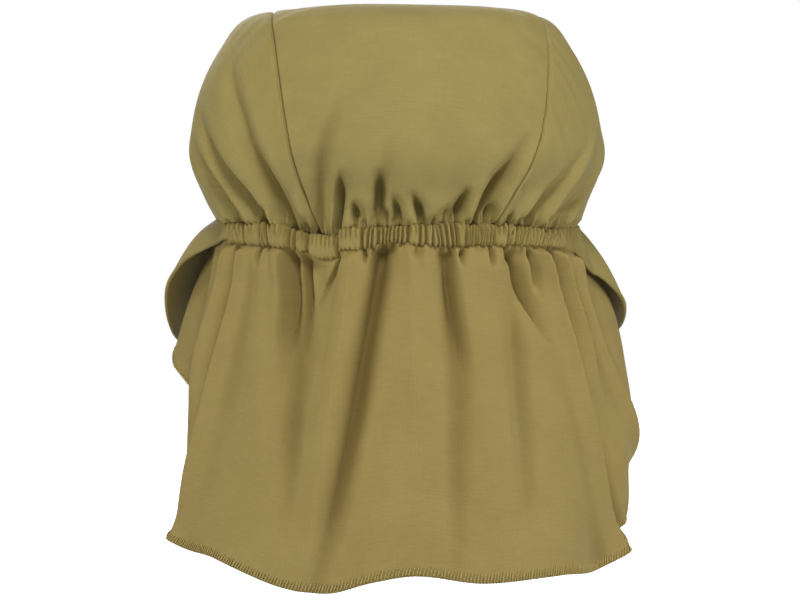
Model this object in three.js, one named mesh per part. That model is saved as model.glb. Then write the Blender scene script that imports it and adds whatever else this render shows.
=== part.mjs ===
// A child's sun cap with a neck flap: a crown of three cloth panels, an elastic casing gathered round
// the nape, a soft peak round the face, and a cloth flap that hangs from the casing over the neck.
// Millimetres, +Z up. The origin is the middle of the head opening. The face looks along -Y, the nape is
// at +Y, and +X is the wearer's left. Angles are degrees round the head: 0 at the nape, 90 at the left
// ear, 180 at the forehead, and 270 or -90 at the right ear.
import * as THREE from "three";

const { clamp, degToRad, lerp, radToDeg, smoothstep } = THREE.MathUtils;

// Driving dimensions
const HEAD_HALF_WIDTH = 76;
const HEAD_HALF_LENGTH = 85;
const CLOTH = 1.2;
const PEAK_THICKNESS = 2;
const GAP = 0.4;
const CASING_THICKNESS = 4;
const CASING_LEFT_END = 63;
const CASING_RIGHT_END = -81;
const FLAP_END = 118;

// The crown from the rim to its top: half width and height at each level. The head's shape gives its length.
const CROWN_LEVELS = [
  { halfWidth: HEAD_HALF_WIDTH, up: 0 },
  { halfWidth: 81.5, up: 12 },
  { halfWidth: 87, up: 28 },
  { halfWidth: 86, up: 45 },
  { halfWidth: 82, up: 60.5 },
  { halfWidth: 74.5, up: 75 },
  { halfWidth: 64, up: 87.6 },
  { halfWidth: 44, up: 91.3 },
  { halfWidth: 0, up: 90 },
];
const CROWN_FRONT_BULGE = 0.4; // share of the bulge left over the forehead, where the cloth isn't gathered
const CROWN_FRONT_ROUND = 0.16; // share by which the crown curves in further over the forehead
const CROWN_ROUND_FROM = 35; // height where that rounding starts
const BULGE_TURN = [95, 165]; // degrees from the nape over which the bulge shrinks
const ROUND_TURN = [85, 150]; // degrees from the nape over which the rounding grows

// The rim's line: wavy where the casing holds it, and higher where the peak is sewn on
const RIM_LINE = [
  { angle: -180, up: 4 },
  { angle: -108, up: 4 },
  { angle: -90, up: 0.5 },
  { angle: -81, up: -2 },
  { angle: -60, up: -0.6 },
  { angle: -35, up: 1 },
  { angle: -14.5, up: 1 },
  { angle: 0, up: 0.2 },
  { angle: 8, up: -0.4 },
  { angle: 15, up: -1.6 },
  { angle: 22, up: -3.4 },
  { angle: 29, up: -2 },
  { angle: 37, up: 0.5 },
  { angle: 47, up: 1 },
  { angle: 63, up: 1.6 },
  { angle: 85, up: 4 },
  { angle: 180, up: 4 },
];
const RIM_FALL = 6; // how fast the rim's line evens out up the crown

// The two long seams from nape (0) to forehead (1), as shares of the way from the crown's middle to its rim
const SEAMS = [
  { run: 0, left: 0.41, right: 0.497 },
  { run: 0.15, left: 0.375, right: 0.518 },
  { run: 0.3, left: 0.335, right: 0.45 },
  { run: 0.5, left: 0.315, right: 0.355 },
  { run: 1, left: 0.42, right: 0.44 },
];
const SEAM_GAP = 0.006;
const SIDE_CORNER = 1.2; // degrees cut from a side panel's two pointed corners

// Folds of the crown: angle at the casing and at the upper end, share of the way up, half width in degrees
// on the wearer's left and right of its line, and how far it moves the cloth out
const CROWN_FOLDS = [
  { foot: 31, head: 66, reach: 0.56, left: 3.6, right: 4.4, depth: -5.5 },
  { foot: 25, head: 57, reach: 0.5, left: 3.5, right: 4, depth: 2 },
  { foot: 36.5, head: 76, reach: 0.42, left: 3, right: 4, depth: 2 },
  { foot: 40.5, head: 74, reach: 0.36, left: 3.6, right: 4.2, depth: -4.5 },
  { foot: 47, head: 82, reach: 0.36, left: 3, right: 3.6, depth: 2 },
  { foot: 55, head: 76, reach: 0.27, left: 3.4, right: 4, depth: -3.5 },
  { foot: 60, head: 86, reach: 0.27, left: 4, right: 4, depth: 2 },
  { foot: 23.5, head: 13, reach: 0.42, left: 3.2, right: 4.5, depth: -4 },
  { foot: 17.6, head: 14.4, reach: 0.17, left: 2.2, right: 2.6, depth: -7 },
  { foot: 5.5, head: 4.6, reach: 0.17, left: 2.2, right: 2.6, depth: -6 },
  { foot: -0.9, head: 0.6, reach: 0.12, left: 2, right: 2.2, depth: -4 },
  { foot: -8, head: -4, reach: 0.13, left: 2.2, right: 2.2, depth: -4.5 },
  { foot: -18.4, head: -20.4, reach: 0.15, left: 2.2, right: 2.2, depth: -6 },
  { foot: -23.5, head: -37, reach: 0.27, left: 3, right: 2.6, depth: -6 },
  { foot: -31, head: -42, reach: 0.25, left: 3.5, right: 3.5, depth: 2 },
  { foot: -41.5, head: -62, reach: 0.25, left: 4.2, right: 3, depth: -4.5 },
  { foot: -47, head: -80, reach: 0.34, left: 3, right: 3, depth: 2.6 },
  { foot: -49, head: -86, reach: 0.17, left: 4, right: 3, depth: -3 },
  { foot: -60, head: -92, reach: 0.3, left: 4, right: 4, depth: 2.4 },
];
const FOLD_AT_RIM = 0.4; // share of a crown fold's depth that is left where the casing holds the cloth
const FOLD_FREE = 0.05; // share of the way up where a crown fold has its whole depth
const FOLD_BEND = 1.2; // a crown fold climbs straight at first, then turns to the side
const FOLD_SPREAD = 0.9; // share by which a crown fold is wider at its upper end
const FOLD_HOLDS = 0.3; // share of a crown fold's length after which it begins to run out

// The casing's gathers: pleats round the nape, a deeper and a shallower one by turns
const CASING_PLEATS = 46;
const PLEAT_DEPTHS = [1.9, 1, 1.5];

// The casing in its place: how far it stands out, and its height
const CASING_WAVE = [
  { angle: CASING_RIGHT_END, out: -1.5, height: 5.4 },
  { angle: -60, out: 0, height: 5.8 },
  { angle: -35, out: 0.4, height: 6.2 },
  { angle: -14.5, out: 0.5, height: 6.7 },
  { angle: 0, out: -0.6, height: 4.6 },
  { angle: 8, out: 0.4, height: 6 },
  { angle: 15, out: 1, height: 6 },
  { angle: 22, out: -1.8, height: 7 },
  { angle: 29, out: -0.6, height: 6.2 },
  { angle: 37, out: 1.2, height: 6.3 },
  { angle: 47, out: 0.8, height: 6.2 },
  { angle: CASING_LEFT_END, out: 0, height: 6.4 },
];
const WAVE_IN_CROWN = 0.12; // share of the way up the crown where the casing's wave is still felt
const WAVE_IN_FLAP = 0.2; // the same for the flap's drop

// The peak's free edge, seen from its seam: how far out and how far down it lies at each angle
const PEAK_EDGE = [
  { angle: 64.5, out: 1.5, down: 5 },
  { angle: 72, out: 4.4, down: 8.5 },
  { angle: 78, out: 8, down: 12 },
  { angle: 86, out: 15, down: 18 },
  { angle: 92, out: 21, down: 27 },
  { angle: 100, out: 24, down: 40 },
  { angle: 109, out: 26, down: 50 },
  { angle: 125, out: 33, down: 54 },
  { angle: 180, out: 46, down: 52 },
  { angle: 235, out: 35, down: 52 },
  { angle: 250, out: 28, down: 46 },
  { angle: 258, out: 25, down: 40 },
  { angle: 266, out: 20, down: 31 },
  { angle: 272, out: 11, down: 20 },
  { angle: 277, out: 4, down: 12 },
];
const PEAK_SPREAD = 1.05; // above 1, the peak falls at its seam and stands out further on
const PEAK_CROWNING = 2.5; // the peak's middle stands this far above a straight line from seam to edge
const PEAK_FULL_OUT = 20; // the peak has its whole crowning where it reaches out this far

// The flap: how far it stands out from the head at half its drop and at the hem, and the hem's height
const FLAP_SECTIONS = [
  { angle: -FLAP_END, half: 9, hem: 9, low: -22 },
  { angle: -108, half: 22, hem: 15, low: -78 },
  { angle: -97, half: 26, hem: 13, low: -117 },
  { angle: -84, half: 18, hem: 23, low: -129 },
  { angle: -71, half: 10.5, hem: 18.5, low: -138 },
  { angle: -48, half: 9, hem: 14, low: -139.5 },
  { angle: -23, half: 8, hem: 11, low: -140.5 },
  { angle: -6, half: 8, hem: 10, low: -137 },
  { angle: 6, half: 8, hem: 10, low: -139.5 },
  { angle: 17, half: 8, hem: 12, low: -144 },
  { angle: 25, half: 8, hem: 12.5, low: -144 },
  { angle: 34, half: 8, hem: 13, low: -141.5 },
  { angle: 52, half: 8.5, hem: 17, low: -133 },
  { angle: 70, half: 12.5, hem: 16, low: -128 },
  { angle: 80, half: 8.5, hem: 11, low: -109 },
  { angle: 87, half: 8.5, hem: 10, low: -78 },
  { angle: 94, half: 13, hem: 20, low: -58 },
  { angle: 102, half: 14, hem: 24, low: -51 },
  { angle: 110, half: 8, hem: 14, low: -30 },
  { angle: FLAP_END, half: 3, hem: 5, low: -14 },
];
const FLAP_INSET = 3.2; // the flap's ends are sewn this far inside the peak's seam
const FLAP_RISE = 9; // degrees over which the flap's top climbs from under the casing to the rim
const FLAP_FAN = 20; // degrees by which the cloth's grain has fanned out at the hem, half way round each side

// Folds of the flap: angle at the casing and at the hem, half width in degrees on the wearer's left and right
// of its line, share of the drop where it has run out, and how far it moves the cloth out
const FLAP_FOLDS = [
  { top: 50.6, hem: 70.5, left: 3.8, right: 5, ends: 3, depth: 5 },
  { top: 57, hem: 79, left: 3.4, right: 3.4, ends: 0.8, depth: -2 },
  { top: 64, hem: 87, left: 3.6, right: 3.6, ends: 3, depth: -3 },
  { top: 74, hem: 94, left: 3.5, right: 4, ends: 3, depth: 2.4 },
  { top: 34, hem: 30, left: 4, right: 3.6, ends: 0.42, depth: -5 },
  { top: 25.5, hem: 24, left: 5.5, right: 7, ends: 0.5, depth: -4.5 },
  { top: 37, hem: 27, left: 4, right: 3, ends: 0.5, depth: 2 },
  { top: 12.5, hem: 24, left: 5, right: 4, ends: 1, depth: 3.2 },
  { top: 4.2, hem: 22, left: 4, right: 7, ends: 1.05, depth: -8.5 },
  { top: -4, hem: -8, left: 4, right: 6, ends: 1.1, depth: 2.4 },
  { top: -14, hem: -28, left: 5, right: 3, ends: 0.42, depth: -6 },
  { top: -17, hem: -17, left: 4.5, right: 5, ends: 1.3, depth: -3 },
  { top: -27, hem: -35, left: 5, right: 5, ends: 1.2, depth: 2.4 },
  { top: -34.2, hem: -70, left: 4.5, right: 5, ends: 0.36, depth: -5 },
  { top: -40, hem: -33, left: 5.5, right: 5.5, ends: 0.8, depth: -2.6 },
  { top: -48.5, hem: -77.5, left: 5.5, right: 4, ends: 3, depth: 5 },
  { top: -54.5, hem: -84, left: 4, right: 4, ends: 3, depth: -5.5 },
  { top: -69, hem: -102, left: 4, right: 4, ends: 3, depth: 3.6 },
];
const FLAP_FREE = 0.1; // share of the drop where a flap fold has its whole depth
const FLAP_FOLD_HOLDS = 0.35; // share of a flap fold's length after which it begins to run out

// The hem's corner that turns out: angle, half width, how far, and the share of the drop where it starts
const HEM_FLICK = { angle: 70.5, left: 3, right: 9, out: 4, start: 0.87 };

// Grid of each piece, columns along it and rows across it
const GRID = {
  centre: [32, 18],
  side: [36, 10],
  casing: [CASING_PLEATS * 2, 3],
  peak: [40, 4],
  flap: [76, 11],
};
const NAPE_CLOSENESS = 1.5; // above 1, a crown panel's grid is closer at the nape than at the forehead
const FLAP_SIDE_COLUMNS = 0.11; // share of the flap's columns on each side of the casing

const COLOURS = {
  cloth: 0x9b8a52,
  casing: 0x96854f,
};

// A column of a table read at any place between its rows, on a smooth curve through them
function readTable(rows, key, column, place) {
  const last = rows.length - 1;
  let i = 0;
  while (i < last - 1 && place > rows[i + 1][key]) i += 1;
  const slope = (k) => {
    const before = rows[Math.max(k - 1, 0)];
    const after = rows[Math.min(k + 1, last)];
    return (after[column] - before[column]) / (after[key] - before[key]);
  };
  const span = rows[i + 1][key] - rows[i][key];
  const t = clamp((place - rows[i][key]) / span, 0, 1);
  const rise = 3 * t ** 2 - 2 * t ** 3;
  return (
    lerp(rows[i][column], rows[i + 1][column], rise) +
    span * (slope(i) * t * (1 - t) ** 2 - slope(i + 1) * t ** 2 * (1 - t))
  );
}

// A soft ridge of height 1 at an angle from its line
function ridge(turned, fold) {
  const offset = turned / (turned > 0 ? fold.left : fold.right);
  return Math.exp(-(offset ** 2));
}

// A point on the head's oval at an angle, moved straight out and up
function onHead(angle, out, up) {
  const turn = degToRad(angle);
  return new THREE.Vector3(
    (HEAD_HALF_WIDTH + out) * Math.sin(turn),
    (HEAD_HALF_LENGTH + out) * Math.cos(turn),
    up,
  );
}

// The height of the crown's rim at any angle, a whole turn or less
function rimUp(angle) {
  return readTable(RIM_LINE, "angle", "up", angle > 180 ? angle - 360 : angle);
}

// The face behind a cloth face, one thickness inside it
function behind(face, thickness) {
  const step = 0.004;
  const inset = (share) => clamp(share, step, 1 - step);
  return (across, along) => {
    const [a, b] = [inset(across), inset(along)];
    const alongColumn = face(a + step, b).sub(face(a - step, b));
    const alongRow = face(a, b + step).sub(face(a, b - step));
    const outward = alongColumn.cross(alongRow).normalize();
    return face(across, along).addScaledVector(outward, -thickness);
  };
}

// A closed wall between an outer and an inner face, each a function of two shares from 0 to 1
function wall(outer, inner, [columns, rows]) {
  const points = [];
  for (const face of [outer, inner]) {
    for (let j = 0; j <= rows; j += 1) {
      for (let i = 0; i <= columns; i += 1) points.push(face(i / columns, j / rows));
    }
  }
  const layer = points.length / 2;
  const at = (i, j) => j * (columns + 1) + i;
  const index = [];
  const quad = (a, b, c, d) => index.push(a, b, c, a, c, d);
  for (let j = 0; j < rows; j += 1) {
    for (let i = 0; i < columns; i += 1) {
      const [a, b, c, d] = [at(i, j), at(i + 1, j), at(i + 1, j + 1), at(i, j + 1)];
      quad(a, b, c, d);
      quad(layer + d, layer + c, layer + b, layer + a);
    }
  }
  const edge = (from, to) => quad(to, from, layer + from, layer + to);
  for (let i = 0; i < columns; i += 1) {
    edge(at(i, 0), at(i + 1, 0));
    edge(at(i + 1, rows), at(i, rows));
  }
  for (let j = 0; j < rows; j += 1) {
    edge(at(0, j + 1), at(0, j));
    edge(at(columns, j), at(columns, j + 1));
  }
  const geometry = new THREE.BufferGeometry().setFromPoints(points).setIndex(index);
  geometry.computeVertexNormals();
  return geometry;
}

function piece(name, geometry, colour) {
  const material = new THREE.MeshStandardMaterial({ color: colour, roughness: 0.85, metalness: 0 });
  material.name = name;
  const mesh = new THREE.Mesh(geometry, material);
  mesh.name = name;
  return mesh;
}

// Crown

const crownProfile = new THREE.SplineCurve(
  CROWN_LEVELS.map((level) => new THREE.Vector2(level.halfWidth, level.up)),
);
const CROWN_TOP = Math.max(...CROWN_LEVELS.map((level) => level.up));

// How far the folds move the crown's cloth out, at an angle and a share of the way from rim to top
function crownFold(angle, share) {
  const held = lerp(FOLD_AT_RIM, 1, smoothstep(share, 0, FOLD_FREE));
  let moved = 0;
  for (const fold of CROWN_FOLDS) {
    const climb = share / fold.reach;
    if (climb < 1) {
      const fade = 1 - smoothstep(climb, FOLD_HOLDS, 1);
      const turned = (angle - lerp(fold.foot, fold.head, climb ** FOLD_BEND)) / (1 + FOLD_SPREAD * climb);
      moved += fold.depth * held * fade * ridge(turned, fold);
    }
  }
  return moved;
}

// How far the crown stands out at a level, with less bulge and a rounder top over the forehead
function crownSpread(angle, level) {
  const turned = Math.abs(angle);
  const bulge = lerp(1, CROWN_FRONT_BULGE, smoothstep(turned, ...BULGE_TURN));
  const spread = Math.min(level.x, HEAD_HALF_WIDTH) + Math.max(level.x - HEAD_HALF_WIDTH, 0) * bulge;
  const round = smoothstep(level.y, CROWN_ROUND_FROM, CROWN_TOP) * smoothstep(turned, ...ROUND_TURN);
  return spread * (1 - CROWN_FRONT_ROUND * round);
}

// The crown spread flat is a disc: x to the wearer's left, y to the nape, 1 at the rim
function crownPoint(x, y) {
  const share = clamp(1 - Math.hypot(x, y), 0, 1);
  const turn = Math.atan2(x, y);
  const angle = radToDeg(turn);
  const level = crownProfile.getPointAt(share);
  const slant = crownProfile.getTangentAt(share);
  const wave = casingOut(angle) * (1 - smoothstep(share, 0, WAVE_IN_CROWN));
  const moved = crownFold(angle, share) + wave;
  const spread = crownSpread(angle, level);
  const length = spread * (HEAD_HALF_LENGTH / HEAD_HALF_WIDTH);
  const lift = moved * slant.x * smoothstep(share, 0, FOLD_FREE);
  return new THREE.Vector3(
    (spread + moved * slant.y) * Math.sin(turn),
    (length + moved * slant.y) * Math.cos(turn),
    GAP + level.y + rimUp(angle) * (1 - share) ** RIM_FALL - lift,
  );
}

function crownCentrePanel() {
  const face = (across, along) => {
    const run = along ** NAPE_CLOSENESS;
    const left = readTable(SEAMS, "run", "left", run) - SEAM_GAP / 2;
    const right = readTable(SEAMS, "run", "right", run) - SEAM_GAP / 2;
    const x = lerp(left, -right, across);
    return crownPoint(x, Math.sqrt(1 - x ** 2) * (1 - 2 * run));
  };
  return piece("crown_centre_panel", wall(face, behind(face, CLOTH), GRID.centre), COLOURS.cloth);
}

// A side panel runs from nape to forehead on the left and back again on the right, so that it faces out
function crownSidePanel(name, seam, side) {
  const seamAt = (run) => readTable(SEAMS, "run", seam, run) + SEAM_GAP / 2;
  const nape = Math.asin(seamAt(0));
  const forehead = Math.PI - Math.asin(seamAt(1));
  const cut = degToRad(SIDE_CORNER) / (forehead - nape);
  const face = (across, along) => {
    const fromNape = (side > 0 ? across : 1 - across) ** NAPE_CLOSENESS;
    const run = lerp(cut, 1 - cut, fromNape);
    const turn = lerp(nape, forehead, run);
    const seamX = seamAt(run);
    const seamY = Math.sqrt(1 - seamX ** 2) * (1 - 2 * run);
    return crownPoint(side * lerp(seamX, Math.sin(turn), along), lerp(seamY, Math.cos(turn), along));
  };
  return piece(name, wall(face, behind(face, CLOTH), GRID.side), COLOURS.cloth);
}

// Casing

// How far the casing stands out, fading past its ends
function casingOut(angle) {
  const past = Math.max(angle - CASING_LEFT_END, CASING_RIGHT_END - angle, 0);
  return readTable(CASING_WAVE, "angle", "out", angle) * (1 - smoothstep(past, 0, FLAP_RISE));
}

function napeCasing() {
  const angleAt = (across) => lerp(CASING_RIGHT_END, CASING_LEFT_END, across);
  const round = (along) => Math.sin(Math.PI * along);
  const place = (across, along, out) => {
    const angle = angleAt(across);
    const height = readTable(CASING_WAVE, "angle", "height", angle);
    return onHead(angle, out + casingOut(angle), rimUp(angle) - height * along);
  };
  const outer = (across, along) => {
    const pleat = across * CASING_PLEATS;
    const depth = PLEAT_DEPTHS[Math.floor(pleat) % PLEAT_DEPTHS.length];
    const hollow = depth * Math.sin(Math.PI * pleat) ** 2;
    return place(across, along, CLOTH / 2 + round(along) * (CASING_THICKNESS / 2 - hollow));
  };
  const inner = (across, along) => place(across, along, -CLOTH - round(along) * (CASING_THICKNESS / 2));
  return piece("nape_casing", wall(outer, inner, GRID.casing), COLOURS.casing);
}

// Peak

function peak() {
  const [start, end] = [PEAK_EDGE[0].angle, PEAK_EDGE.at(-1).angle];
  const face = (across, along) => {
    const angle = lerp(start, end, across);
    const out = readTable(PEAK_EDGE, "angle", "out", angle);
    const down = readTable(PEAK_EDGE, "angle", "down", angle);
    const crowning = PEAK_CROWNING * Math.sin(Math.PI * along) * clamp(out / PEAK_FULL_OUT, 0, 1);
    const reach = Math.hypot(out, down);
    return onHead(
      angle,
      CLOTH / 2 + out * along ** PEAK_SPREAD + (crowning * down) / reach,
      rimUp(angle) - down * along + (crowning * out) / reach,
    );
  };
  return piece("peak", wall(face, behind(face, PEAK_THICKNESS), GRID.peak), COLOURS.cloth);
}

// Flap

// How far the folds move the flap out, at an angle and a share of the drop
function flapFold(angle, drop) {
  const hung = smoothstep(drop, 0, FLAP_FREE);
  let moved = 0;
  for (const fold of FLAP_FOLDS) {
    const fade = 1 - smoothstep(drop, FLAP_FOLD_HOLDS * fold.ends, fold.ends);
    moved += fold.depth * hung * fade * ridge(angle - lerp(fold.top, fold.hem, drop), fold);
  }
  const kick = clamp((drop - HEM_FLICK.start) / (1 - HEM_FLICK.start), 0, 1) ** 2;
  return moved + HEM_FLICK.out * kick * ridge(angle - HEM_FLICK.angle, HEM_FLICK);
}

// The flap's columns lie closer together under the casing than at the sides
function flapGrain(across) {
  const side = FLAP_SIDE_COLUMNS;
  if (across < side) return lerp(-FLAP_END, CASING_RIGHT_END, across / side);
  if (across > 1 - side) return lerp(FLAP_END, CASING_LEFT_END, (1 - across) / side);
  return lerp(CASING_RIGHT_END, CASING_LEFT_END, (across - side) / (1 - 2 * side));
}

function neckFlap() {
  const beyond = (angle) =>
    smoothstep(angle, CASING_LEFT_END + 1, CASING_LEFT_END + 1 + FLAP_RISE) +
    smoothstep(-angle, 1 - CASING_RIGHT_END, 1 - CASING_RIGHT_END + FLAP_RISE);
  const face = (across, along) => {
    const grain = flapGrain(across);
    const angle = grain + FLAP_FAN * along * Math.sin((Math.PI * grain) / FLAP_END);
    const past = beyond(grain);
    const height = readTable(CASING_WAVE, "angle", "height", grain);
    const top = rimUp(grain) - height * (1 - past) - GAP;
    const low = readTable(FLAP_SECTIONS, "angle", "low", angle);
    const half = readTable(FLAP_SECTIONS, "angle", "half", angle);
    const hem = readTable(FLAP_SECTIONS, "angle", "hem", angle);
    const flare = 4 * half * along * (1 - along) + hem * along * (2 * along - 1);
    const wave = casingOut(angle) * (1 - smoothstep(along, 0, WAVE_IN_FLAP));
    const out = CLOTH / 2 - FLAP_INSET * past + wave + flare + flapFold(angle, along);
    return onHead(angle, out, lerp(top, low, along));
  };
  return piece("neck_flap", wall(face, behind(face, CLOTH), GRID.flap), COLOURS.cloth);
}

const cap = new THREE.Group();
cap.name = "neck_flap_cap";
cap.add(
  crownCentrePanel(),
  crownSidePanel("crown_side_left", "left", 1),
  crownSidePanel("crown_side_right", "right", -1),
  napeCasing(),
  peak(),
  neckFlap(),
);

export default cap;
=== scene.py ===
"""Looks of a child's sun cap with a neck flap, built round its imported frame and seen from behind.

Shapes are worked out in millimetres, +Z up, with the origin in the middle of the head opening. The face
looks along -Y, the nape is at +Y and +X is the wearer's left. Angles are degrees round the head: 0 at the
nape, 90 at the left ear, 180 at the forehead, and -90 or 270 at the right ear.
"""
import math

import bpy
import numpy as np
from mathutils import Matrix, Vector


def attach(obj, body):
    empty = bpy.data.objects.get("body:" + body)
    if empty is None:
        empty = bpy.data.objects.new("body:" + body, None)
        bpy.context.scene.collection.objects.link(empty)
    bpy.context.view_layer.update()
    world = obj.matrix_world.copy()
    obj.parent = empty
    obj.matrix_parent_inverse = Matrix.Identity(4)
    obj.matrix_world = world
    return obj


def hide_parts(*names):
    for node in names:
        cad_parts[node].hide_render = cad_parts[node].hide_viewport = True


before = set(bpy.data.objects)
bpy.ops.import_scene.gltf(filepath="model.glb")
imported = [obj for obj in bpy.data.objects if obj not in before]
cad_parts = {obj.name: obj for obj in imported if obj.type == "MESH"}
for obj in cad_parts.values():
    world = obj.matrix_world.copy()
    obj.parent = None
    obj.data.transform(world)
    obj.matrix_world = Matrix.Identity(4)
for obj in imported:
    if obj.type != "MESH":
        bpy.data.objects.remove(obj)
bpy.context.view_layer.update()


def table(columns, *rows):
    """A short table as one array for each named column."""
    return dict(zip(columns.split(), np.array(rows, float).T))


# Driving sizes, in millimetres and degrees
MM = 0.001  # metres in a millimetre
HEAD_HALF_WIDTH = 76.0
HEAD_HALF_LENGTH = 85.0
HEAD_RADIUS = 80.0  # about the mean of the two
CLOTH = 0.7  # the cloth's thickness
PEAK_THICKNESS = 1.8
GAP = 0.4  # from the casing to the flap's top
CASING_HEIGHT = 6.2
CASING_LEFT_END = 63.0
CASING_RIGHT_END = -81.0
FLAP_END = 118.0  # the flap ends at this angle on both sides
DEGREE = math.radians(1) * HEAD_RADIUS  # millimetres round the head in one degree

# Seeds of the random draws
CROWN_RIPPLE_SEED = 5
PUCKER_SEED = 9
PLEAT_SEED = 11
RUFFLE_SEED = 17
CROWN_GATHER_SEED = 21
PEAK_RIPPLE_SEED = 31
FLAP_GATHER_SEED = 41
FLAP_RIPPLE_SEED = 51
STITCH_SEED = 61

# Ripples: the shortest and longest wave, as shares of the length that is asked for
RIPPLE_RANGE = (0.7, 1.6)

# A pressed crease: how fast it falls from its line, how round its top is, and what brings its top to 1
CREASE_FALL = 1.5
CREASE_ROUND = 0.015
CREASE_TOP = 0.1225

# The crown from the rim to its top, and the share of its bulge that is left over the forehead
CROWN_LEVELS = table(
    "half_width up",
    (HEAD_HALF_WIDTH, 0), (81.5, 12), (87, 28), (86, 45), (82, 60.5), (74.5, 75), (64, 87.6), (44, 91.3),
    (0, 90),
)
CROWN_FRONT_BULGE = 0.4
CROWN_BULGE_ENDS = (95, 165)  # angles between which the bulge shrinks to that
CROWN_FRONT_ROUND = 0.16  # how much further the crown curves in over the forehead, as a share
CROWN_ROUND_ENDS = (85, 150)  # angles between which it comes to that
CROWN_ROUND_FROM = 35.0  # height where it starts
CROWN_RIPPLE = 0.35  # height, length and start of the crown's soft ripples, by the distance from the rim
CROWN_RIPPLE_LONG = 42
CROWN_RIPPLE_FREE = (6, 40)
DISC_RADIUS = 90  # the flat disc that the crown is worked out on, for the ripples

# The rim's line: level over the casing, and higher where the peak is sewn on
RIM_LINE = table("angle up", (-180, 4), (-108, 4), (-79, 1), (58, 1), (85, 4), (180, 4))
RIM_FADE = 6  # the power by which that line dies out up the crown

# The two long seams from nape (0) to forehead (1), as shares of the way from the crown's middle to its rim
SEAMS = table(
    "run left right",
    (0, 0.41, 0.497), (0.15, 0.375, 0.518), (0.3, 0.335, 0.45), (0.5, 0.315, 0.355), (1, 0.42, 0.44),
)
SEAM_GAP = 0.002
SIDE_CORNER = 1.2  # degrees cut from a side panel's two pointed corners
SEAM_ROLL = 1.3  # how far a panel's edge turns in at its seam
SEAM_ROLL_WIDE = 0.6
SEAM_SCALE = 0.8  # cloth beside a seam for each unit of the disc, as a share of the crown's reach
PUCKER = 0.32  # depth of the small ripples that the sewing leaves beside a seam
PUCKER_WIDE = 6.0
PUCKER_LONG = 8
PUCKER_SHIFT = 250  # moves the puckers of one panel's edge along from its neighbour's

# Folds of the crown: angle at the casing and at the upper end, share of the way up, half width on the
# wearer's left and right of it, depth, sharpness
CROWN_FOLDS = table(
    "foot head reach left right depth sharp",
    (32.3, 68.5, 0.56, 3.4, 4.6, -7.5, 0.25), (25, 57, 0.5, 3.5, 4, 2, 0.1), (36.5, 76, 0.42, 3, 4, 2, 0.1),
    (42, 78, 0.36, 3.4, 4.4, -7, 0.25), (47, 82, 0.36, 3, 3.6, 2, 0.1), (55, 76, 0.27, 3.4, 4, -4.5, 0.25),
    (60, 86, 0.27, 4, 4, 2, 0.3), (50.8, 53, 0.08, 1.5, 1.5, -4, 0.4), (34.8, 38, 0.08, 1.4, 1.4, -4, 0.4),
    (23.5, 13, 0.42, 3.2, 5, -4.6, 0), (5.5, -2, 0.38, 4, 5, -2.2, 0),
    (17.6, 14.4, 0.17, 1.4, 2.6, -11, 0.5), (12.2, 11.5, 0.09, 1.4, 2, -9, 0.4),
    (5.5, 4.6, 0.17, 1.6, 2.4, -8, 0.4), (2.6, 2.6, 0.06, 1, 1, -5, 0.4),
    (-0.9, 0.6, 0.1, 1.5, 1.9, -8, 0.4), (-8, -4, 0.11, 1.8, 1.8, -7, 0.4),
    (-14.6, -15, 0.07, 1.4, 1.4, -7, 0.4), (-18.4, -20.4, 0.12, 2, 2, -9, 0.4),
    (-24.2, -39, 0.27, 3, 2.4, -8, 0.3), (-27.8, -29.5, 0.08, 1.4, 1.4, -8, 0.4),
    (-20.8, -27, 0.2, 2, 2, 2, 0), (-31, -42, 0.25, 3.5, 3.5, 2, 0.2),
    (-41.2, -67, 0.25, 4.2, 2.8, -4.4, 0.25), (-36.5, -56, 0.2, 3, 3, 2, 0.2),
    (-47, -80, 0.34, 3, 3, 2.6, 0.2), (-49, -86, 0.17, 4, 2.6, -3.5, 0.25), (-60, -92, 0.3, 4, 4, 2.4, 0.3),
)
FOLD_AT_RIM = 0.4  # share of a crown fold's depth that is left where the casing holds the cloth
FOLD_FREE = 0.04  # share of the way up where a crown fold has its whole depth
FOLD_PINCH = 0.55  # share of a fold's width that is left where the casing holds the cloth
FOLD_WIDE = 0.6  # share of a fold's climb where it has its whole width
FOLD_FADE = 0.3  # share of its climb where it starts to fade
FOLD_BEND = 1.2  # a crown fold climbs straight at first, then turns to the side
RIM_PUFF = 1.5  # how far the crown's gathers swell out just above the casing
RIM_PUFF_RISE = (0, 5)  # distances from the casing between which the swelling grows and shrinks
RIM_PUFF_FALL = (4, 18)
NAPE_BEFORE = 3  # the gathers die out from this angle before the casing's ends to this one past them
NAPE_AFTER = 6

# The casing's stretches from the wearer's left: where each ends, its pleats, their depth and lean in degrees
CASING_STRETCHES = table(
    "end pleats depth lean",
    (52, 7, 1.1, 0.5), (43.5, 1, 1.2, 0), (41, 2, 1.3, 1), (33, 1, 1.3, 0), (31.6, 1, 1.2, 0),
    (27.4, 1, 1.3, 0), (17.2, 1, 1.4, 0), (9.6, 1, 1.4, 0), (5, 3, 1.2, -0.8), (-3.5, 7, 1.1, -0.4),
    (-7.2, 1, 1.2, 0), (-11, 2, 0.8, 0), (-17.6, 5, 1.3, 0.9), (-21, 1, 1.3, 0), (-30, 9, 1, -0.3),
    (-35, 1, 1.3, 0), (-62, 18, 1, -1.4), (CASING_RIGHT_END, 7, 0.3, -0.8),
)
PLEAT_DEPTH = 2.2
PLEAT_DEPTHS = (0.7, 1.25)  # least and most of a valley's own depth, as shares
PLEAT_LEANS = (0.5, 1.4)  # least and most of a valley's own lean, as shares
PLEAT_WOBBLE = 0.3  # share of a pleat's width by which its valleys stray
PLEAT_LEAST = 0.2  # the narrowest pleat, in degrees
PLEAT_ROUND = 1.7  # the power that rounds a narrow pleat
PLEAT_SHOULDER = 2.0  # how wide the round shoulder of a wide pleat is
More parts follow.
